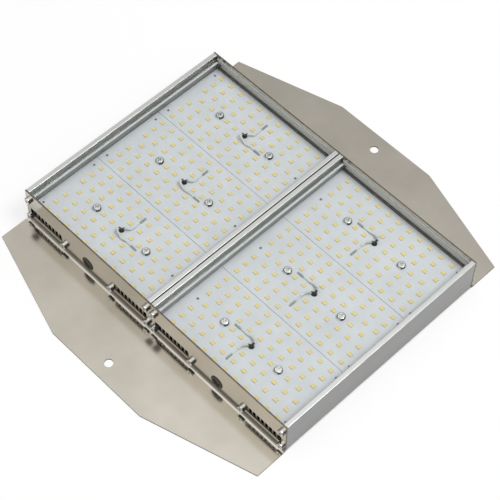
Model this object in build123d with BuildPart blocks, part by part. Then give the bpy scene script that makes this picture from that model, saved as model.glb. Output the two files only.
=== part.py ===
from build123d import *
import os

# LED floodlight of two finned aluminium modules held between two folded end plates.
# Millimetres, +Z out of the lit face. The origin is in the middle of the mounting plane,
# x runs across the two modules and y along their extrusions.

# Extruded module body
module_width = 129.6
module_gap = 0.8
body_length = 181.6
plate_height = 33.2
body_lift = 2.2
outer_wall = 2.0
rim_wall = 3.6
rim_round = 0.35
rim_depth = 6.4
lip_width = 2.3
lip_height = 4.2
base_depth = 15.2
base_thickness = 2.5
tunnel_half = 27.2
tunnel_wall = 2.4
tunnel_floor = 1.5
fin_count = 7
fin_thickness = 1.3
fin_pitch = 3.8
first_fin_offset = 3.1

module_half = module_width / 2
module_centre = (module_width + module_gap) / 2
module_sides = {"left": -1, "right": 1}
lip_top = plate_height - rim_depth
lip_bottom = lip_top - lip_height
base_top = plate_height - base_depth
base_bottom = base_top - base_thickness
tunnel_outer = tunnel_half + tunnel_wall
tunnel_bottom = body_lift + tunnel_floor
tunnel_height = base_bottom - tunnel_bottom
first_fin = tunnel_outer + first_fin_offset

# End plates, folded from one sheet, as wide as the two modules together
sheet = 1.2
bend_inner = 2.6
flange_side_depth = 25.2
flange_full_depth = 51.0
flange_nose_half = 44.35
mount_hole_distance = 39.1
mount_hole_diameter = 6.5

plate_width = 2 * module_width + module_gap
wall_inner = body_length / 2
wall_outer = wall_inner + sheet
bend_outer = bend_inner + sheet

# Screws that hold the end plates, and the round channels that they cut into
port_screw_diameter = 2.9
port_screw_length = 11.0
port_clearance = 0.1
port_wall = 1.6
plate_hole_clearance = 0.4
port_inset = 3.35
port_below_lip = 1.9
port_above_body = 4.4
port_inside_tunnel = 2.6
port_below_base = 7.3
pan_head_diameter = 5.5
pan_head_height = 2.5

port_bore_radius = (port_screw_diameter + port_clearance) / 2
port_boss_radius = port_bore_radius + port_wall
port_outer = module_half - port_inset
port_low = body_lift + port_above_body
# the high port lies in the lip block, and the other two have round bosses of their own
high_ports = [(side * port_outer, lip_top - port_below_lip) for side in (-1, 1)]
low_ports = [(side * port_outer, port_low) for side in (-1, 1)]
inner_ports = [
    (side * (tunnel_half - port_inside_tunnel), base_bottom - port_below_base)
    for side in (-1, 1)
]
port_points = high_ports + low_ports + inner_ports

# Openings in the plates: air windows in front of the fins, and the cable inlets
window_from_tunnel = 0.1
window_from_side = 3.85
window_over_port = 2.0
window_over_fins = 0.4
window_corner = 1.0
inlet_margin = 1.4
inlet_rise = 1.1

window_start = tunnel_half + window_from_tunnel
window_end = module_half - window_from_side
window_bottom = port_low + window_over_port
window_top = base_bottom + window_over_fins
inlet_diameter = tunnel_height - 2 * inlet_margin
inlet_height = tunnel_bottom + tunnel_height / 2 + inlet_rise

# Rubber plugs that close the cable inlets
plug_clearance = 0.2
plug_flange_overlap = 0.9
plug_flange_thickness = 0.4
plug_barb_overlap = 0.3
plug_barb_length = 1.8
plug_dish_wall = 1.2
plug_dish_depth = 0.5

# LED boards, three in a row between the sealant beads at the ends of the bay
board_count = 3
board_gap = 0.3
board_side_clearance = 1.2
board_thickness = 1.6
bead_depth = 0.95
bead_height = 3.0
wire_hole_in_board = 4.4
wire_hole_in_base = 5.0
spare_hole_diameter = 2.0
spare_hole_from_end = 3.8
spare_hole_offset = 23.8
spare_hole_near_screw_end = 7.6

opening_width = module_width - 2 * rim_wall
board_length = opening_width - 2 * board_side_clearance
board_pitch = (body_length - 2 * bead_depth + board_gap) / board_count
board_width = board_pitch - board_gap
board_top = base_top + board_thickness
board_rows = [(number - (board_count - 1) / 2) * board_pitch for number in range(board_count)]
spare_holes = [
    (-board_length / 2 + spare_hole_from_end, spare_hole_offset),
    (-board_length / 2 + spare_hole_from_end, -spare_hole_offset),
    (board_length / 2 - spare_hole_near_screw_end, 0),
]

# LED chips
chip_length = 3.5
chip_width = 2.8
chip_height = 0.7
chip_column_pitch = 10.0
chip_columns = 11
chip_row_pitch = 8.37
chip_rows_each_side = 3
chip_middle_row = [10.0, 18.5, 34.5, 44.7]

# Screws that clamp the boards
board_screw_diameter = 3.0
board_screw_length = 5.0
board_screw_place = 25.7
board_hole_clearance = 0.4
board_thread_clearance = 0.1
board_head_diameter = 6.0
board_head_height = 2.2
board_screw_points = [
    (side * board_screw_place, row, base_top) for row in board_rows for side in (-1, 1)
]

# Recess in the screw heads
recess_span = 0.55
recess_slot = 0.13
recess_depth = 0.5
head_round = 0.8
screw_tip_chamfer = 0.35

# Leads from each board to the terminal block
lead_diameter = 1.6
lead_hole_offset = 0.7
lead_lift = 0.05
strand_diameter = 0.8
strip_length = 4.8
strand_tuck = 0.6
lead_arch = 2.8
second_loop = (-0.9, -3.5)
lead_run_drop = 1.6
lead_lane_first = 1.9
lead_lane_step = 1.65
lead_bend_board = 3.0
lead_bend_arch = 1.8
lead_bend_loop = 1.2
lead_bend_tunnel = 4.0
first_pad = (4.7, 16.2)
second_pad = (17.2, -4.2)
first_lead_bend_y = 5.0
second_lead_bend = (5.5, -5.0)
pad_length = 6.0
pad_width = 1.6
solder_height = 1.4
solder_taper = 12.0
lead_radius = lead_diameter / 2
lead_on_board = board_top + lead_radius + lead_lift
strand_on_board = board_top + strand_diameter / 2 + lead_lift
lead_run_height = tunnel_bottom + tunnel_height / 2 - lead_run_drop

# Terminal block
block_width = 14.0
block_length = 14.0
block_top_gap = 3.3
block_from_plate = 10.8
block_mouth_width = 5.9
block_mouth_height = 2.4
block_mouth_depth = 2.5
block_well_diameter = 4.2
block_screw_diameter = 3.4
block_screw_height = 3.0
block_fit = 0.2
block_corner = 0.4
block_height = tunnel_height - block_top_gap
block_back = block_from_plate - wall_inner
block_front = block_back + block_length
lead_end = block_front - block_mouth_depth + block_fit

# Cover glass and the sealant that it is bedded on
glass_thickness = 3.2
glass_side_gap = 0.5
glass_end_gap = 0.6
glass_edge_chamfer = 0.3
bed_thickness = 0.4
bed_width = 1.5

glass_width = opening_width - 2 * glass_side_gap
glass_length = body_length - 2 * glass_end_gap
glass_bottom = lip_top + bed_thickness
bay_width = opening_width - 2 * lip_width

os.makedirs("parts", exist_ok=True)


# Each finished piece is named and written to its own file
def save(piece, label):
    piece.part.label = label
    export_step(piece.part, f"parts/{label}.step")


# Module body: the section of the extrusion, drawn round the middle of one module
def housing_section():
    with BuildSketch(Plane.XZ.offset(-body_length / 2)) as section:
        for side in (-1, 1):
            outer = side * module_half
            toward = (Align.MIN if side < 0 else Align.MAX, Align.MIN)
            with Locations((outer, body_lift)):
                Rectangle(outer_wall, plate_height - body_lift, align=toward)
            with Locations((outer, base_bottom)):
                Rectangle(rim_wall, plate_height - base_bottom, align=toward)
            with Locations((outer, lip_bottom)):
                Rectangle(rim_wall + lip_width, lip_top - lip_bottom, align=toward)
            with Locations((side * tunnel_outer, body_lift)):
                Rectangle(tunnel_wall, base_top - body_lift, align=toward)
            for fin in range(fin_count):
                with Locations((side * (first_fin + fin * fin_pitch), body_lift)):
                    Rectangle(fin_thickness, base_top - body_lift, align=(Align.CENTER, Align.MIN))
        with Locations((0, base_bottom)):
            Rectangle(module_width, base_top - base_bottom, align=(Align.CENTER, Align.MIN))
        with Locations((0, body_lift)):
            Rectangle(2 * tunnel_outer, tunnel_floor, align=(Align.CENTER, Align.MIN))
        with Locations(*low_ports, *inner_ports):
            Circle(port_boss_radius)
        # the low corner bosses stay inside the module's own width
        for side in (-1, 1):
            with Locations((side * (module_half + port_boss_radius), port_low)):
                Rectangle(2 * port_boss_radius, 2 * port_boss_radius, mode=Mode.SUBTRACT)
        with Locations(*port_points):
            Circle(port_bore_radius, mode=Mode.SUBTRACT)
        fillet(section.vertices().group_by(Axis.Y)[-1], rim_round)
    return section


def housing():
    section = housing_section()
    wire_holes = [(0, row, base_top) for row in board_rows]
    with BuildPart() as body:
        extrude(section.sketch, amount=body_length)
        # a wire hole under the middle of each board, and threaded holes for its screws
        drillings = (
            (wire_holes, wire_hole_in_base),
            (board_screw_points, board_screw_diameter + board_thread_clearance),
        )
        for places, diameter in drillings:
            with Locations(*places):
                Cylinder(
                    diameter / 2,
                    base_top - base_bottom,
                    align=(Align.CENTER, Align.CENTER, Align.MAX),
                    mode=Mode.SUBTRACT,
                )
    return body


# End plate: a wall in front of the extrusions, a bend and a mounting flange.
# The near one is drawn; the far one is the same plate turned half round.
def end_plate():
    with BuildPart() as plate:
        with BuildSketch(Plane.YZ) as fold:
            with BuildLine():
                Polyline(
                    (-wall_inner, plate_height),
                    (-wall_inner, 0),
                    (-wall_outer - flange_full_depth, 0),
                    (-wall_outer - flange_full_depth, sheet),
                    (-wall_outer, sheet),
                    (-wall_outer, plate_height),
                    close=True,
                )
            make_face()
            corner = fold.vertices().sort_by_distance(Vector(0, -wall_inner, 0))[0]
            fillet(corner, bend_outer)
            corner = fold.vertices().sort_by_distance(Vector(0, -wall_outer, sheet))[0]
            fillet(corner, bend_inner)
        extrude(amount=plate_width / 2, both=True)
        # the flange narrows toward the side ends
        with BuildSketch(Plane.XY) as trim:
            for side in (-1, 1):
                with BuildLine():
                    Polyline(
                        (side * plate_width / 2, -wall_outer - flange_side_depth),
                        (side * flange_nose_half, -wall_outer - flange_full_depth),
                        (side * plate_width / 2, -wall_outer - flange_full_depth),
                        close=True,
                    )
                make_face()
        extrude(amount=sheet, mode=Mode.SUBTRACT)
        with Locations((0, -wall_outer - mount_hole_distance, 0)):
            Cylinder(
                mount_hole_diameter / 2,
                sheet,
                align=(Align.CENTER, Align.CENTER, Align.MIN),
                mode=Mode.SUBTRACT,
            )
        with BuildSketch(Plane.XZ.offset(wall_inner)) as openings:
            window_width = window_end - window_start
            window_height = window_top - window_bottom
            for middle in (-module_centre, module_centre):
                for side in (-1, 1):
                    across = middle + side * (window_start + window_width / 2)
                    with Locations((across, window_bottom + window_height / 2)):
                        RectangleRounded(window_width, window_height, window_corner)
                with Locations((middle, inlet_height)):
                    Circle(inlet_diameter / 2)
                with Locations(*[(middle + across, height) for across, height in port_points]):
                    Circle((port_screw_diameter + plate_hole_clearance) / 2)
        extrude(amount=sheet, mode=Mode.SUBTRACT)
    return plate


# Pan head screw standing on its head's seat at the origin, with the shank pointing down
def pan_screw(head_diameter, head_height, shank_diameter, length):
    with BuildPart() as screw:
        Cylinder(
            head_diameter / 2, head_height, align=(Align.CENTER, Align.CENTER, Align.MIN)
        )
        fillet(screw.edges().group_by(Axis.Z)[-1], head_round)
        Cylinder(shank_diameter / 2, length, align=(Align.CENTER, Align.CENTER, Align.MAX))
        chamfer(screw.edges().group_by(Axis.Z)[0], screw_tip_chamfer)
        with Locations((0, 0, head_height)):
            for turn in (0, 90):
                Box(
                    head_diameter * recess_span,
                    head_diameter * recess_slot,
                    2 * head_height * recess_depth,
                    rotation=(0, 0, turn),
                    mode=Mode.SUBTRACT,
                )
    return screw


# Rubber plug: a flange outside the plate, a neck through it and a barb behind it,
# drawn as half a section with the plate's outer face at height nought
def plug():
    neck = (inlet_diameter - plug_clearance) / 2
    barb = inlet_diameter / 2 + plug_barb_overlap
    flange = inlet_diameter / 2 + plug_flange_overlap
    with BuildPart() as rubber:
        with BuildSketch(Plane.XZ):
            with BuildLine():
                Polyline(
                    (0, plug_flange_thickness),
                    (flange, plug_flange_thickness),
                    (flange, 0),
                    (neck, 0),
                    (neck, -sheet),
                    (barb, -sheet),
                    (neck - plug_clearance, -sheet - plug_barb_length),
                    (0, -sheet - plug_barb_length),
                    close=True,
                )
            make_face()
        revolve(axis=Axis.Z)
        fillet(rubber.edges().group_by(Axis.Z)[-1], plug_flange_thickness / 2)
        with Locations((0, 0, plug_flange_thickness)):
            Cylinder(
                neck - plug_dish_wall,
                plug_dish_depth,
                align=(Align.CENTER, Align.CENTER, Align.MAX),
                mode=Mode.SUBTRACT,
            )
    return rubber


# LED board, drawn round its own middle; turned half round in the right module
def board():
    with BuildPart() as plate:
        with BuildSketch(Plane.XY.offset(base_top)):
            Rectangle(board_length, board_width)
            Circle(wire_hole_in_board / 2, mode=Mode.SUBTRACT)
            with Locations((-board_screw_place, 0), (board_screw_place, 0)):
                Circle((board_screw_diameter + board_hole_clearance) / 2, mode=Mode.SUBTRACT)
            with Locations(*spare_holes):
                Circle(spare_hole_diameter / 2, mode=Mode.SUBTRACT)
        extrude(amount=board_thickness)
    return plate


# All the chips of one board: six full rows, and a middle row that leaves room for the
# wire hole and the screws
def chips():
    with BuildPart() as group:
        with BuildSketch(Plane.XY.offset(board_top)):
            for step in range(1, chip_rows_each_side + 1):
                for side in (-1, 1):
                    with Locations((0, side * step * chip_row_pitch)):
                        with GridLocations(chip_column_pitch, 1, chip_columns, 1):
                            Rectangle(chip_length, chip_width)
            for across in chip_middle_row:
                with Locations((-across, 0), (across, 0)):
                    Rectangle(chip_length, chip_width)
        extrude(amount=chip_height)
    return group


# Both solder joints of one board, each a flat mound over the pad and the lead's end
def solder_joints():
    with BuildPart() as group:
        with BuildSketch(Plane.XY.offset(board_top)):
            with Locations(first_pad):
                SlotOverall(pad_length, pad_width, rotation=90)
            with Locations(second_pad):
                SlotOverall(pad_length, pad_width)
        extrude(amount=solder_height, taper=solder_taper)
    return group


# One lead of a board: a bare strand from its solder joint, then the insulation over the
# board, down the wire hole and along the tunnel into the terminal block. Turned half round
# in the right module.
def lead(side, which, row_number):
    turn = -side
    middle = side * module_centre
    row = board_rows[row_number]
    lane = lead_lane_first + row_number * lead_lane_step
    way = 1 if which == "first" else -1
    hole_x = middle + turn * way * lead_hole_offset
    hole_y = row + turn * way * lead_hole_offset
    if which == "first":
        joint = (first_pad[0], first_pad[1] - pad_length / 2)
        strip = (first_pad[0], joint[1] - strip_length)
        bend = (first_pad[0], first_lead_bend_y)
        loops = []
        radii = (lead_bend_board, lead_bend_arch, lead_bend_tunnel)
    else:
        joint = (second_pad[0] - pad_length / 2, second_pad[1])
        strip = (joint[0] - strip_length, second_pad[1])
        bend = second_lead_bend
        loops = [(middle + turn * second_loop[0], row + turn * second_loop[1], lead_on_board + lead_arch)]
        radii = (lead_bend_board, lead_bend_loop, lead_bend_loop, lead_bend_tunnel)
    joint_point = Vector(middle + turn * joint[0], row + turn * joint[1], strand_on_board)
    strip_point = Vector(middle + turn * strip[0], row + turn * strip[1], lead_on_board)
    bend_point = Vector(middle + turn * bend[0], row + turn * bend[1], lead_on_board)
    with BuildPart() as wire:
        with BuildLine() as route:
            FilletPolyline(
                strip_point,
                bend_point,
                *loops,
                (hole_x, hole_y, lead_on_board + lead_arch),
                (hole_x, hole_y, lead_run_height),
                (middle + turn * way * lane, lead_end, lead_run_height),
                radius=radii,
            )
        with BuildSketch(Plane(route.wire() @ 0, z_dir=route.wire() % 0)):
            Circle(lead_radius)
        sweep()
        along_strand = (strip_point - joint_point).normalized()
        with BuildSketch(Plane(joint_point, z_dir=along_strand)):
            Circle(strand_diameter / 2)
        extrude(amount=(strip_point - joint_point).length + strand_tuck)
    return wire


# Two-pole terminal block on the tunnel floor, with a mouth for the three leads of each pole
def terminal_block():
    with BuildPart() as block:
        with BuildSketch(Plane.XY.offset(tunnel_bottom)):
            with Locations((0, block_back)):
                Rectangle(block_width, block_length, align=(Align.CENTER, Align.MIN))
        extrude(amount=block_height)
        fillet(block.edges().filter_by(Axis.Z), block_corner)
        for side in (-1, 1):
            mouth = side * (lead_lane_first + lead_lane_step)
            for end, toward in ((block_front, Align.MAX), (block_back, Align.MIN)):
                with Locations((mouth, end, lead_run_height)):
                    Box(
                        block_mouth_width,
                        block_mouth_depth,
                        block_mouth_height,
                        align=(Align.CENTER, toward, Align.CENTER),
                        mode=Mode.SUBTRACT,
                    )
            with Locations((mouth, block_back + block_length / 2, tunnel_bottom + block_height)):
                Cylinder(
                    block_well_diameter / 2,
                    block_screw_height + block_fit,
                    align=(Align.CENTER, Align.CENTER, Align.MAX),
                    mode=Mode.SUBTRACT,
                )
    return block


# Clamp screws of the terminal block, sunk in its wells
def block_screws():
    seat = tunnel_bottom + block_height - block_screw_height - block_fit
    mouth = lead_lane_first + lead_lane_step
    with BuildPart() as group:
        with Locations(*[(side * mouth, block_back + block_length / 2, seat) for side in (-1, 1)]):
            Cylinder(
                block_screw_diameter / 2,
                block_screw_height,
                align=(Align.CENTER, Align.CENTER, Align.MIN),
            )
        with Locations(
            *[
                (side * mouth, block_back + block_length / 2, seat + block_screw_height)
                for side in (-1, 1)
            ]
        ):
            Box(
                block_screw_diameter,
                block_screw_diameter * recess_slot * 2,
                block_screw_height * recess_depth,
                mode=Mode.SUBTRACT,
            )
    return group


# Cover glass, bedded on the lips of the extrusion
def cover_glass():
    with BuildPart() as pane:
        with BuildSketch(Plane.XY.offset(glass_bottom)):
            Rectangle(glass_width, glass_length)
        extrude(amount=glass_thickness)
        chamfer(pane.faces().sort_by(Axis.Z)[-1].edges(), glass_edge_chamfer)
    return pane


# Sealant under the long edges of the glass and between its ends and the end plates
def cover_seal():
    with BuildPart() as ring:
        with BuildSketch(Plane.XY.offset(lip_top)):
            Rectangle(bay_width + 2 * bed_width, body_length)
            Rectangle(bay_width, glass_length, mode=Mode.SUBTRACT)
        extrude(amount=bed_thickness)
        with BuildSketch(Plane.XY.offset(glass_bottom)):
            Rectangle(bay_width + 2 * bed_width, body_length)
            Rectangle(bay_width + 2 * bed_width, glass_length, mode=Mode.SUBTRACT)
        extrude(amount=glass_thickness)
    return ring


# Sealant bead between the last board and the end plate
def end_bead():
    with BuildPart() as bead:
        with BuildSketch(Plane.XY.offset(base_top)):
            with Locations((0, -wall_inner)):
                Rectangle(opening_width, bead_depth, align=(Align.CENTER, Align.MIN))
        extrude(amount=bead_height)
    return bead


# A piece drawn round one module's middle is placed by a list of places and turns
def placed(piece, places):
    with BuildPart() as group:
        with Locations(*places):
            add(piece.part)
    return group


# End plates with their screws and plugs
near_plate = end_plate()
plate_screw = pan_screw(
    pan_head_diameter, pan_head_height, port_screw_diameter, port_screw_length
)
rubber_plug = plug()
out_of_near_face = (90, 0, 0)
out_of_far_face = (-90, 0, 0)
ends = {"near": (-1, out_of_near_face), "far": (1, out_of_far_face)}
for name, (end, facing) in ends.items():
    half_turn = (0, 0, 0 if end < 0 else 180)
    save(placed(near_plate, [Location((0, 0, 0), half_turn)]), f"end_plate_{name}")
    screw_places = [
        Location((side * module_centre + across, end * wall_outer, height), facing)
        for side in module_sides.values()
        for across, height in port_points
    ]
    save(placed(plate_screw, screw_places), f"end_plate_screws_{name}")
    for side_name, side in module_sides.items():
        plug_place = Location((side * module_centre, end * wall_outer, inlet_height), facing)
        save(placed(rubber_plug, [plug_place]), f"inlet_plug_{side_name}_{name}")
        bead_place = Location((side * module_centre, 0, 0), half_turn)
        save(placed(end_bead(), [bead_place]), f"end_seal_{side_name}_{name}")

# Modules
module_body = housing()
board_screw = pan_screw(
    board_head_diameter, board_head_height, board_screw_diameter, board_screw_length
)
for side_name, side in module_sides.items():
    middle = side * module_centre
    module_place = [Location((middle, 0, 0))]
    save(placed(module_body, module_place), f"housing_{side_name}")
    save(placed(cover_glass(), module_place), f"cover_glass_{side_name}")
    save(placed(cover_seal(), module_place), f"cover_seal_{side_name}")
    save(placed(terminal_block(), module_place), f"terminal_block_{side_name}")
    save(placed(block_screws(), module_place), f"terminal_screws_{side_name}")
    screw_places = [Location((middle + x, y, board_top)) for x, y, z in board_screw_points]
    save(placed(board_screw, screw_places), f"board_screws_{side_name}")
    board_turn = (0, 0, 0 if side < 0 else 180)
    for number, row in enumerate(board_rows):
        board_place = [Location((middle, row, 0), board_turn)]
        label = f"{side_name}_{number + 1}"
        save(placed(board(), board_place), f"led_board_{label}")
        save(placed(chips(), board_place), f"led_chips_{label}")
        save(placed(solder_joints(), board_place), f"solder_joints_{label}")
        save(lead(side, "first", number), f"first_lead_{label}")
        save(lead(side, "second", number), f"second_lead_{label}")
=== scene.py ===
import math

import bmesh
import bpy
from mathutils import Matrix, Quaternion, Vector


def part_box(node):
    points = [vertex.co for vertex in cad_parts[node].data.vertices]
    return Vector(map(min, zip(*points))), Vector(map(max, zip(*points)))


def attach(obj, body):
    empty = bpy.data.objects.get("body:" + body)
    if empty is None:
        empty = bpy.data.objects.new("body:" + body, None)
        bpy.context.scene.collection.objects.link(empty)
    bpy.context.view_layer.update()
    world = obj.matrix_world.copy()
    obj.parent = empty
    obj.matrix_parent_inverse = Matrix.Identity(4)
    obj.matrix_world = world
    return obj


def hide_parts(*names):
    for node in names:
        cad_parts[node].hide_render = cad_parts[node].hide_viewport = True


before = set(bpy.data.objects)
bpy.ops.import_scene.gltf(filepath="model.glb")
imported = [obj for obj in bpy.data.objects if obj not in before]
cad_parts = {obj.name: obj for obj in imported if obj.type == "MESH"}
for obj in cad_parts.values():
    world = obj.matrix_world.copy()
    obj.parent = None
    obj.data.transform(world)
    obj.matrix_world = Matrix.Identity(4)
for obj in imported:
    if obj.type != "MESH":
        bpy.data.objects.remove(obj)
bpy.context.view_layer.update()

MM = 0.001

# Camera, fitted to the photograph's corners and chips
CAMERA_PLACE = Vector((0.45266, -0.45723, 0.97111))
CAMERA_AIM = Vector((-0.00019, 0.00279, 0.0))
CAMERA_ROLL = math.radians(1.431)
CAMERA_LENS = 118.19
SENSOR = 36.0

# Sizes that the looks need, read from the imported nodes
plate_low, plate_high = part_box("end_plate_near")
housing_low, housing_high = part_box("housing_left")
board_low, board_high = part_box("led_board_left_1")
chips_low, chips_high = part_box("led_chips_left_1")
SHEET = 1.2 * MM
BEND_REACH = 3.9 * MM
LIP_DROP = 1.0 * MM
WALL_OUTER = -housing_low.y + SHEET
RIM_TOP = housing_high.z
BOARD_TOP = board_high.z
CHIP_TOP = chips_high.z

# How squarely a face looks along a direction, from 0 to 1
HALF_FACING = 0.5
MOSTLY_FACING = 0.8
NEARLY_FACING = 0.9


def middle_of(node_name):
    low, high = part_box(node_name)
    return (low + high) / 2


# Boards of the right module, where their leads are stripped, and how far painted shade reaches on the
# leads around the hole, measured from the middle of a board
board_middle = middle_of("led_board_right_2")
BOARD_PITCH = middle_of("led_board_right_3").y - board_middle.y
FIRST_STRIP = 8.42 * MM
SECOND_STRIP = 9.42 * MM
PAINTED_SHADE_REACH = 1.8 * MM

MODULE_SIDES = {"left": -1, "right": 1}
BOARD_NUMBERS = (1, 2, 3)
ENDS = {"near": -1, "far": 1}


# Shader helpers
def new_material(name):
    material = bpy.data.materials.new(name)
    material.use_nodes = True
    tree = material.node_tree
    shader = tree.nodes["Principled BSDF"]
    return material, tree, shader


def node(tree, kind, **settings):
    made = tree.nodes.new(kind)
    for key, value in settings.items():
        setattr(made, key, value)
    return made


def math_node(tree, operation, first, second=None):
    made = node(tree, "ShaderNodeMath", operation=operation)
    for socket, value in zip(made.inputs, (first, second)):
        if value is None:
            continue
        if isinstance(value, (int, float)):
            socket.default_value = value
        else:
            tree.links.new(value, socket)
    return made.outputs[0]


def scaled(tree, value, factor, base):
    made = node(tree, "ShaderNodeMath", operation="MULTIPLY_ADD")
    tree.links.new(value, made.inputs[0])
    made.inputs[1].default_value = factor
    made.inputs[2].default_value = base
    return made.outputs[0]


# The place of the point being shaded, and the way its face looks, each as x, y and z
def place_and_facing(tree):
    geometry = node(tree, "ShaderNodeNewGeometry")
    parts = []
    for name in ("Position", "True Normal"):
        split = node(tree, "ShaderNodeSeparateXYZ")
        tree.links.new(geometry.outputs[name], split.inputs[0])
        parts.append(split.outputs)
    return parts


def ramp(tree, factor, stops):
    made = node(tree, "ShaderNodeValToRGB")
    elements = made.color_ramp.elements
    while len(elements) < len(stops):
        elements.new(0.5)
    for element, (place, colour) in zip(elements, stops):
        element.position = place
        element.color = (*colour, 1.0)
    tree.links.new(factor, made.inputs[0])
    return made.outputs[0]


def object_noise(tree, scale, stretch=(1, 1, 1), detail=4.0, roughness=0.6):
    coordinates = node(tree, "ShaderNodeTexCoord").outputs["Object"]
    mapping = node(tree, "ShaderNodeMapping")
    mapping.inputs["Scale"].default_value = stretch
    texture = node(tree, "ShaderNodeTexNoise")
    texture.inputs["Scale"].default_value = scale
    texture.inputs["Detail"].default_value = detail
    texture.inputs["Roughness"].default_value = roughness
    tree.links.new(coordinates, mapping.inputs["Vector"])
    tree.links.new(mapping.outputs[0], texture.inputs["Vector"])
    return texture.outputs["Fac"]


def mix_colour(tree, factor, first, second, blend="MIX"):
    made = node(tree, "ShaderNodeMix", data_type="RGBA", blend_type=blend)
    for socket, value in ((made.inputs[0], factor), (made.inputs[6], first), (made.inputs[7], second)):
        if isinstance(value, (int, float)):
            socket.default_value = value
        elif isinstance(value, tuple):
            socket.default_value = (*value, 1.0)
        else:
            tree.links.new(value, socket)
    return made.outputs[2]


def add_bump(tree, shader, height, distance, strength=1.0):
    bump = node(tree, "ShaderNodeBump")
    bump.inputs["Strength"].default_value = strength
    bump.inputs["Distance"].default_value = distance
    tree.links.new(height, bump.inputs["Height"])
    tree.links.new(bump.outputs[0], shader.inputs["Normal"])


# Polished stainless sheet, with the cut edges darker than the faces
def stainless():
    material, tree, shader = new_material("stainless_sheet")
    grain = object_noise(tree, 260.0, (1, 1, 1), detail=6.0)
    cloud = object_noise(tree, 20.0, (1, 1, 1), detail=3.0)
    face = ramp(tree, cloud, ((0.3, (0.525, 0.495, 0.43)), (0.7, (0.615, 0.58, 0.515))))
    edge = ramp(tree, grain, ((0.35, (0.13, 0.11, 0.09)), (0.7, (0.22, 0.19, 0.155))))

    place, facing = place_and_facing(tree)
    side = math_node(tree, "ABSOLUTE", facing["X"])
    along = math_node(tree, "ABSOLUTE", facing["Y"])
    above = math_node(tree, "ABSOLUTE", facing["Z"])
    out = math_node(tree, "ABSOLUTE", place["Y"])
    # past the bend the sheet lies flat, so what doesn't face up or down there is a cut edge;
    # above the bend it stands upright, and there the cut edges don't face along y
    flat = math_node(tree, "GREATER_THAN", out, WALL_OUTER + BEND_REACH)
    upright = math_node(tree, "GREATER_THAN", place["Z"], BEND_REACH)
    flat_edge = math_node(tree, "MULTIPLY", flat, math_node(tree, "LESS_THAN", above, HALF_FACING))
    wall_edge = math_node(tree, "MULTIPLY", upright, math_node(tree, "LESS_THAN", along, HALF_FACING))
    bend_edge = math_node(tree, "GREATER_THAN", side, NEARLY_FACING)
    cut = math_node(tree, "MAXIMUM", math_node(tree, "MAXIMUM", flat_edge, wall_edge), bend_edge)

    tree.links.new(mix_colour(tree, cut, face, edge), shader.inputs["Base Color"])
    shader.inputs["Metallic"].default_value = 1.0
    smooth = scaled(tree, grain, 0.05, 0.13)
    rough = math_node(tree, "MAXIMUM", smooth, math_node(tree, "MULTIPLY", cut, 0.5))
    tree.links.new(rough, shader.inputs["Roughness"])
    add_bump(tree, shader, cloud, 0.02 * MM, 0.25)
    return material


# Extruded aluminium, with the die's fine lines along y. Shade is painted on the walls and on the lips
# under the glass: they take a darker copy of the colour than what faces up or out of the ends.
def extrusion():
    material, tree, shader = new_material("anodised_aluminium")
    lines = object_noise(tree, 900.0, (1, 0.004, 1), detail=5.0, roughness=0.7)
    cloud = object_noise(tree, 30.0, (1, 0.3, 1), detail=3.0)
    lit_tone = ramp(tree, lines, ((0.3, (0.66, 0.67, 0.66)), (0.7, (0.74, 0.75, 0.74))))
    painted_shade_tone = ramp(tree, lines, ((0.3, (0.25, 0.255, 0.25)), (0.7, (0.32, 0.325, 0.32))))
    place, facing = place_and_facing(tree)
    # painted shade: faces that look sideways, and faces under the rim top that look up
    sideways = math_node(tree, "GREATER_THAN", math_node(tree, "ABSOLUTE", facing["X"]), MOSTLY_FACING)
    below = math_node(tree, "LESS_THAN", place["Z"], RIM_TOP - LIP_DROP)
    upward = math_node(tree, "GREATER_THAN", facing["Z"], HALF_FACING)
    lip = math_node(tree, "MULTIPLY", below, upward)
    shaded = math_node(tree, "MAXIMUM", sideways, lip)
    tree.links.new(mix_colour(tree, shaded, lit_tone, painted_shade_tone), shader.inputs["Base Color"])
    shader.inputs["Metallic"].default_value = 1.0
    rough = scaled(tree, cloud, 0.14, 0.3)
    tree.links.new(rough, shader.inputs["Roughness"])
    add_bump(tree, shader, lines, 0.03 * MM, 0.5)
    return material


# White solder mask over an aluminium board
def solder_mask():
    material, tree, shader = new_material("white_solder_mask")
    cloud = object_noise(tree, 60.0, (1, 1, 1), detail=4.0)
    fine = object_noise(tree, 1200.0, (1, 1, 1), detail=3.0)
    tone = ramp(tree, cloud, ((0.3, (0.56, 0.565, 0.605)), (0.7, (0.605, 0.615, 0.65))))
    tree.links.new(tone, shader.inputs["Base Color"])
    shader.inputs["Roughness"].default_value = 0.42
    add_bump(tree, shader, fine, 0.02 * MM, 0.3)
    return material


def plated(name, dark, light, roughness):
    material, tree, shader = new_material(name)
    cloud = object_noise(tree, 900.0, (1, 1, 1), detail=4.0)
    tree.links.new(ramp(tree, cloud, ((0.3, dark), (0.7, light))), shader.inputs["Base Color"])
    shader.inputs["Metallic"].default_value = 1.0
    rough = scaled(tree, cloud, 0.1, roughness)
    tree.links.new(rough, shader.inputs["Roughness"])
    add_bump(tree, shader, cloud, 0.03 * MM, 0.3)
    return material
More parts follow.
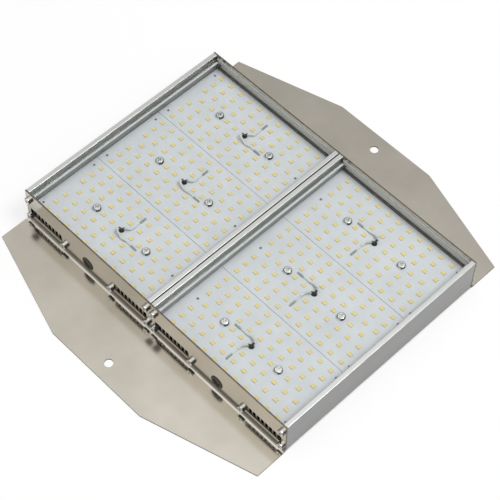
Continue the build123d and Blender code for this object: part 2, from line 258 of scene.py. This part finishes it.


# Zinc plated screws: bright flats, and painted shade on the rounded edges and in the recess
def screw_metal(name, edge_shade_dark, edge_shade_light, edge_from):
    material, tree, shader = new_material(name)
    cloud = object_noise(tree, 900.0, (1, 1, 1), detail=4.0)
    flat = ramp(tree, cloud, ((0.3, (0.74, 0.74, 0.73)), (0.7, (0.90, 0.90, 0.88))))
    painted_edge_shade = ramp(tree, cloud, ((0.3, edge_shade_dark), (0.7, edge_shade_light)))
    facing = place_and_facing(tree)[1]
    along = math_node(tree, "ABSOLUTE", facing["Y"])
    # the rounded edges and the recess take the painted shade
    rounded = math_node(tree, "LESS_THAN", math_node(tree, "MAXIMUM", along, facing["Z"]), edge_from)
    tree.links.new(mix_colour(tree, rounded, flat, painted_edge_shade), shader.inputs["Base Color"])
    shader.inputs["Metallic"].default_value = 1.0
    rough = scaled(tree, cloud, 0.1, 0.2)
    tree.links.new(rough, shader.inputs["Roughness"])
    add_bump(tree, shader, cloud, 0.03 * MM, 0.3)
    return material


# Leads: white insulation, and a bare tinned strand from where each one is stripped
def lead_material():
    material, tree, shader = new_material("lead_insulation")
    cloud = object_noise(tree, 500.0, (1, 1, 1), detail=5.0)
    sleeve = ramp(tree, cloud, ((0.3, (0.52, 0.52, 0.50)), (0.7, (0.64, 0.64, 0.61))))
    strand = ramp(tree, cloud, ((0.3, (0.58, 0.60, 0.59)), (0.7, (0.72, 0.74, 0.72))))
    place = place_and_facing(tree)[0]
    # distances from the middle of the lead's own board
    across = math_node(tree, "SUBTRACT", math_node(tree, "ABSOLUTE", place["X"]), board_middle.x)
    across = math_node(tree, "ABSOLUTE", across)
    along = math_node(tree, "WRAP", place["Y"], BOARD_PITCH / 2)
    along.node.inputs[2].default_value = -BOARD_PITCH / 2
    along = math_node(tree, "ABSOLUTE", along)
    second_bare = math_node(tree, "GREATER_THAN", across, SECOND_STRIP)
    first_bare = math_node(tree, "GREATER_THAN", along, FIRST_STRIP)
    over_board = math_node(tree, "GREATER_THAN", place["Z"], BOARD_TOP)
    bare = math_node(tree, "MULTIPLY", over_board, math_node(tree, "MAXIMUM", first_bare, second_bare))
    coloured = mix_colour(tree, bare, sleeve, strand)
    # painted shade: near black in and just above the wire hole
    shade = math_node(tree, "LESS_THAN", math_node(tree, "MAXIMUM", across, along), PAINTED_SHADE_REACH)
    tree.links.new(mix_colour(tree, shade, coloured, (0.015, 0.015, 0.015)), shader.inputs["Base Color"])
    tree.links.new(math_node(tree, "MULTIPLY", bare, 0.4), shader.inputs["Metallic"])
    shader.inputs["Roughness"].default_value = 0.35
    add_bump(tree, shader, cloud, 0.03 * MM, 0.5)
    return material


def plastic(name, dark, light, roughness, bump=0.03 * MM, scale=500.0):
    material, tree, shader = new_material(name)
    cloud = object_noise(tree, scale, (1, 1, 1), detail=5.0)
    tree.links.new(ramp(tree, cloud, ((0.3, dark), (0.7, light))), shader.inputs["Base Color"])
    rough = scaled(tree, cloud, 0.12, roughness)
    tree.links.new(rough, shader.inputs["Roughness"])
    add_bump(tree, shader, cloud, bump, 0.5)
    return material


# Clear cover glass: it mirrors a little by angle and lets the rest straight through
def clear_glass():
    material = bpy.data.materials.new("clear_glass")
    material.use_nodes = True
    tree = material.node_tree
    tree.nodes.clear()
    clear = node(tree, "ShaderNodeBsdfTransparent")
    smudge = object_noise(tree, 40.0, (1, 1, 1), detail=3.0)
    tint = ramp(tree, smudge, ((0.3, (0.965, 0.98, 0.975)), (0.7, (0.985, 0.995, 0.99))))
    tree.links.new(tint, clear.inputs["Color"])
    mirror = node(tree, "ShaderNodeBsdfGlossy")
    mirror.inputs["Roughness"].default_value = 0.03
    fresnel = node(tree, "ShaderNodeFresnel")
    fresnel.inputs["IOR"].default_value = 1.5
    geometry = node(tree, "ShaderNodeNewGeometry")
    outside = math_node(tree, "SUBTRACT", 1.0, geometry.outputs["Backfacing"])
    share = math_node(tree, "MULTIPLY", fresnel.outputs[0], outside)
    mixed = node(tree, "ShaderNodeMixShader")
    tree.links.new(share, mixed.inputs[0])
    tree.links.new(clear.outputs[0], mixed.inputs[1])
    tree.links.new(mirror.outputs[0], mixed.inputs[2])
    output = node(tree, "ShaderNodeOutputMaterial")
    tree.links.new(mixed.outputs[0], output.inputs["Surface"])
    return material


STAINLESS = stainless()
ALUMINIUM = extrusion()
BOARD = solder_mask()
GLASS = clear_glass()
ZINC = screw_metal("zinc_screws", (0.14, 0.14, 0.14), (0.26, 0.26, 0.25), 0.8)
BOARD_ZINC = screw_metal("zinc_board_screws", (0.03, 0.03, 0.03), (0.10, 0.10, 0.10), 0.88)
SOLDER = plated("solder", (0.30, 0.32, 0.30), (0.50, 0.52, 0.49), 0.3)
SEALANT = plastic("black_sealant", (0.02, 0.019, 0.017), (0.10, 0.095, 0.085), 0.35, 0.2 * MM)
SILICONE = plastic("clear_silicone", (0.54, 0.55, 0.55), (0.66, 0.67, 0.67), 0.3, 0.05 * MM)
RUBBER = plastic("black_rubber", (0.008, 0.007, 0.006), (0.05, 0.042, 0.032), 0.42, 0.05 * MM, 900.0)
LEAD = lead_material()
TERMINAL = plastic("terminal_plastic", (0.66, 0.66, 0.60), (0.74, 0.74, 0.69), 0.45)
CHIP_BODY = plastic("chip_package", (0.64, 0.58, 0.38), (0.72, 0.66, 0.46), 0.45)
PHOSPHOR = plastic("chip_phosphor", (0.68, 0.53, 0.19), (0.76, 0.61, 0.27), 0.25, 0.02 * MM, 1500.0)


def dress(node_name, material):
    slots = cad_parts[node_name].material_slots
    for slot in slots:
        slot.material = material


for end in ENDS:
    dress(f"end_plate_{end}", STAINLESS)
    dress(f"end_plate_screws_{end}", ZINC)
for side in MODULE_SIDES:
    dress(f"housing_{side}", ALUMINIUM)
    dress(f"cover_glass_{side}", GLASS)
    dress(f"cover_seal_{side}", SILICONE)
    dress(f"board_screws_{side}", BOARD_ZINC)
    dress(f"terminal_block_{side}", TERMINAL)
    dress(f"terminal_screws_{side}", ZINC)
    for end in ENDS:
        dress(f"inlet_plug_{side}_{end}", RUBBER)
        dress(f"end_seal_{side}_{end}", SEALANT)
    for number in BOARD_NUMBERS:
        tag = f"{side}_{number}"
        dress(f"led_board_{tag}", BOARD)
        dress(f"led_chips_{tag}", PHOSPHOR)
        dress(f"solder_joints_{tag}", SOLDER)
        dress(f"first_lead_{tag}", LEAD)
        dress(f"second_lead_{tag}", LEAD)


# LED chips: a package with a sloped well of phosphor
CHIP_LENGTH = 3.5 * MM
CHIP_WIDTH = 2.8 * MM
WELL_LENGTH = 2.9 * MM
WELL_WIDTH = 2.25 * MM
WELL_FLOOR_SHARE = 0.86
WELL_DEPTH = 0.12 * MM
CHIP_CHAMFER = 0.12 * MM
COLUMN_PITCH = 10.0 * MM
COLUMNS = 11
ROW_PITCH = 8.37 * MM
ROWS_EACH_SIDE = 3
MIDDLE_ROW = [10.0 * MM, 18.5 * MM, 34.5 * MM, 44.7 * MM]


def chip_places():
    places = []
    for step in range(1, ROWS_EACH_SIDE + 1):
        for column in range(COLUMNS):
            across = (column - (COLUMNS - 1) / 2) * COLUMN_PITCH
            places.append((across, step * ROW_PITCH))
            places.append((across, -step * ROW_PITCH))
    for across in MIDDLE_ROW:
        places.append((across, 0.0))
        places.append((-across, 0.0))
    return places


def ring(mesh, centre, length, width, height):
    x, y = centre
    corners = ((-1, -1), (1, -1), (1, 1), (-1, 1))
    return [
        mesh.verts.new((x + sx * length / 2, y + sy * width / 2, height)) for sx, sy in corners
    ]


def join_rings(mesh, lower, upper, material_index):
    for index in range(len(lower)):
        after = (index + 1) % len(lower)
        face = mesh.faces.new((lower[index], lower[after], upper[after], upper[index]))
        face.material_index = material_index


def chip_mesh(middle, turn):
    mesh = bmesh.new()
    for across, along in chip_places():
        centre = (middle.x + turn * across, middle.y + turn * along)
        foot = ring(mesh, centre, CHIP_LENGTH, CHIP_WIDTH, BOARD_TOP)
        shoulder = ring(mesh, centre, CHIP_LENGTH, CHIP_WIDTH, CHIP_TOP - CHIP_CHAMFER)
        brim = ring(
            mesh, centre, CHIP_LENGTH - CHIP_CHAMFER, CHIP_WIDTH - CHIP_CHAMFER, CHIP_TOP
        )
        lip = ring(mesh, centre, WELL_LENGTH, WELL_WIDTH, CHIP_TOP)
        floor = ring(
            mesh,
            centre,
            WELL_LENGTH * WELL_FLOOR_SHARE,
            WELL_WIDTH * WELL_FLOOR_SHARE,
            CHIP_TOP - WELL_DEPTH,
        )
        join_rings(mesh, foot, shoulder, 0)
        join_rings(mesh, shoulder, brim, 0)
        join_rings(mesh, brim, lip, 0)
        join_rings(mesh, lip, floor, 1)
        mesh.faces.new(floor).material_index = 1
        mesh.faces.new(list(reversed(foot))).material_index = 0
    mesh.normal_update()
    return mesh


def mesh_object(name, mesh, *materials):
    data = bpy.data.meshes.new(name)
    mesh.to_mesh(data)
    mesh.free()
    for material in materials:
        data.materials.append(material)
    piece = bpy.data.objects.new(name, data)
    bpy.context.scene.collection.objects.link(piece)
    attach(piece, "root")
    return piece


for side, sign in MODULE_SIDES.items():
    for number in BOARD_NUMBERS:
        chips = mesh_object(
            f"chips_{side}_{number}",
            chip_mesh(middle_of(f"led_board_{side}_{number}"), -sign),
            CHIP_BODY,
            PHOSPHOR,
        )
        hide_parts(f"led_chips_{side}_{number}")


# Floor: pale, and pure white to the camera apart from the object's own shadow. Mirrors see
# its plain shade close to the object, and under it nothing makes it whiter.
FLOOR_SIZE = 6.0
SHADOW_SHARE = 0.3
SHADE_START = 0.17
SHADE_END = 0.40


def floor_material():
    material = bpy.data.materials.new("floor")
    material.use_nodes = True
    tree = material.node_tree
    tree.nodes.clear()
    plain = node(tree, "ShaderNodeBsdfDiffuse")
    plain.inputs["Color"].default_value = (0.86, 0.86, 0.86, 1.0)
    white = node(tree, "ShaderNodeEmission")
    path = node(tree, "ShaderNodeLightPath")
    position = node(tree, "ShaderNodeNewGeometry").outputs["Position"]
    distance = node(tree, "ShaderNodeVectorMath", operation="LENGTH")
    tree.links.new(position, distance.inputs[0])
    clear = node(tree, "ShaderNodeMapRange", interpolation_type="SMOOTHSTEP")
    clear.inputs["From Min"].default_value = SHADE_START
    clear.inputs["From Max"].default_value = SHADE_END
    tree.links.new(distance.outputs["Value"], clear.inputs["Value"])
    mirrored = math_node(tree, "MULTIPLY", path.outputs["Is Glossy Ray"], clear.outputs[0])
    seen = math_node(tree, "MAXIMUM", path.outputs["Is Camera Ray"], mirrored)
    seen = math_node(tree, "MAXIMUM", seen, path.outputs["Is Transmission Ray"])
    place = place_and_facing(tree)[0]
    beside = math_node(tree, "GREATER_THAN", math_node(tree, "ABSOLUTE", place["X"]), plate_high.x)
    beyond = math_node(tree, "GREATER_THAN", math_node(tree, "ABSOLUTE", place["Y"]), WALL_OUTER)
    outside = math_node(tree, "MAXIMUM", beside, beyond)
    share = math_node(tree, "MULTIPLY", math_node(tree, "MULTIPLY", seen, outside), 1.0 - SHADOW_SHARE)
    mixed = node(tree, "ShaderNodeMixShader")
    tree.links.new(share, mixed.inputs[0])
    tree.links.new(plain.outputs[0], mixed.inputs[1])
    tree.links.new(white.outputs[0], mixed.inputs[2])
    output = node(tree, "ShaderNodeOutputMaterial")
    tree.links.new(mixed.outputs[0], output.inputs["Surface"])
    return material


def add_floor():
    mesh = bmesh.new()
    bmesh.ops.create_grid(mesh, x_segments=1, y_segments=1, size=FLOOR_SIZE / 2)
    data = bpy.data.meshes.new("floor")
    mesh.to_mesh(data)
    mesh.free()
    data.materials.append(floor_material())
    floor = bpy.data.objects.new("floor", data)
    bpy.context.scene.collection.objects.link(floor)


add_floor()


# Light: a studio that is brighter overhead than at the sides, and one soft lamp
def add_world():
    world = bpy.data.worlds.new("studio")
    bpy.context.scene.world = world
    world.use_nodes = True
    tree = world.node_tree
    background = tree.nodes["Background"]
    direction = node(tree, "ShaderNodeTexCoord").outputs["Generated"]
    parts = node(tree, "ShaderNodeSeparateXYZ")
    tree.links.new(direction, parts.inputs[0])
    sky = ramp(
        tree,
        parts.outputs["Z"],
        (
            (0.0, (0.16, 0.16, 0.16)),
            (0.4, (0.22, 0.22, 0.22)),
            (0.62, (0.55, 0.55, 0.55)),
            (0.74, (0.60, 0.60, 0.59)),
            (0.80, (0.70, 0.69, 0.68)),
            (0.88, (1.05, 1.04, 1.03)),
            (1.0, (1.32, 1.32, 1.32)),
        ),
    )
    # the window side of the studio, toward -y, is the brighter one
    toward = scaled(tree, parts.outputs["Y"], -0.40, 1.12)
    studio = mix_colour(tree, 1.0, sky, toward, "MULTIPLY")
    path = node(tree, "ShaderNodeLightPath")
    shown = mix_colour(tree, path.outputs["Is Camera Ray"], studio, (1.0, 1.0, 1.0))
    tree.links.new(shown, background.inputs["Color"])


def add_lamp(name, place, aim, size, watts):
    lamp = bpy.data.lights.new(name, "AREA")
    lamp.shape = "DISK"
    lamp.size = size
    lamp.energy = watts
    holder = bpy.data.objects.new(name, lamp)
    holder.location = place
    holder.rotation_mode = "QUATERNION"
    holder.rotation_quaternion = (aim - place).to_track_quat("-Z", "Y")
    holder.visible_camera = False
    bpy.context.scene.collection.objects.link(holder)


add_world()
add_lamp("soft_lamp", Vector((0.9, 0.5, 2.0)), Vector((0, 0, 0)), 0.9, 26.0)


# Camera at the photograph's place
def add_camera():
    data = bpy.data.cameras.new("camera")
    data.lens = CAMERA_LENS
    data.sensor_width = SENSOR
    camera = bpy.data.objects.new("camera", data)
    bpy.context.scene.collection.objects.link(camera)
    camera.location = CAMERA_PLACE
    camera.rotation_mode = "QUATERNION"
    level = (CAMERA_AIM - CAMERA_PLACE).to_track_quat("-Z", "Y")
    camera.rotation_quaternion = level @ Quaternion((0, 0, 1), CAMERA_ROLL)
    bpy.context.scene.camera = camera


add_camera()
bpy.context.scene.view_settings.view_transform = "Standard"
